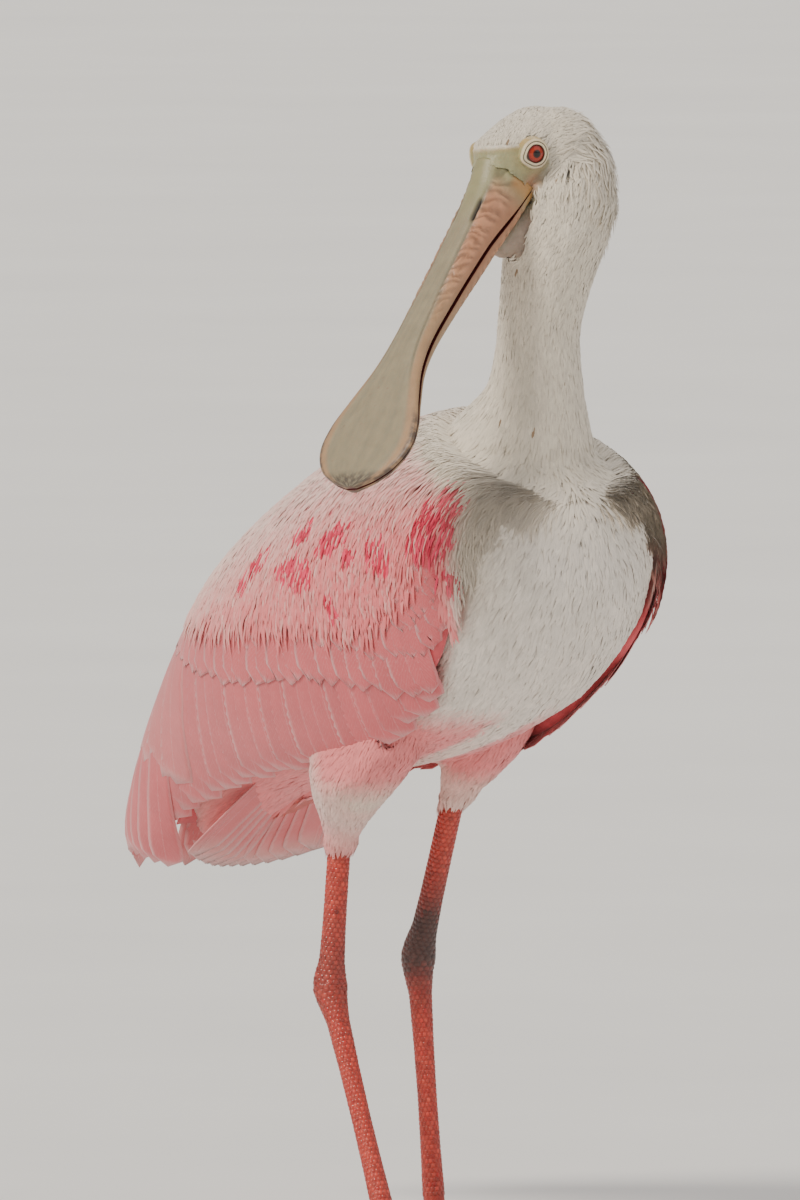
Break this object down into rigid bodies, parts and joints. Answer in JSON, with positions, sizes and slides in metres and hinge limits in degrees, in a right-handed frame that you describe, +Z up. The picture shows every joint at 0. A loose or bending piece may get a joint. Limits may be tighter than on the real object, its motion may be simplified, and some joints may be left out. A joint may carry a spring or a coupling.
{
  "type": "roseate spoonbill",
  "caption": "Life-size still model of a roseate spoonbill standing at rest with folded wings, its head turned to its right and its spoon-shaped bill hanging down.",
  "frame": {"origin": "on the floor, under the middle of the whole bird's box", "axes": "+Z up; the bird heads along -Y, its right side is -X"},
  "size_m": [0.2002, 0.354, 0.4876],
  "materials": {
    "plumage_white": "matte",
    "plumage_pink": "matte",
    "plumage_blush": "matte",
    "bill_horn": "satin",
    "eye": "gloss",
    "leg_skin": "satin"
  },
  "bodies": {
    "root": {"head": "plumage_white", "neck_upper": "plumage_white", "neck_lower": "plumage_white", "trunk": "plumage_white", "tail": "plumage_blush", "bill_upper": "bill_horn", "bill_lower": "bill_horn", "eye_left": "eye", "wing_left": "plumage_pink", "thigh_left": "plumage_blush", "shank_left": "leg_skin", "tarsus_left": "leg_skin", "foot_left": "leg_skin", "eye_right": "eye", "wing_right": "plumage_pink", "thigh_right": "plumage_blush", "shank_right": "leg_skin", "tarsus_right": "leg_skin", "foot_right": "leg_skin"}
  },
  "joints": []
}
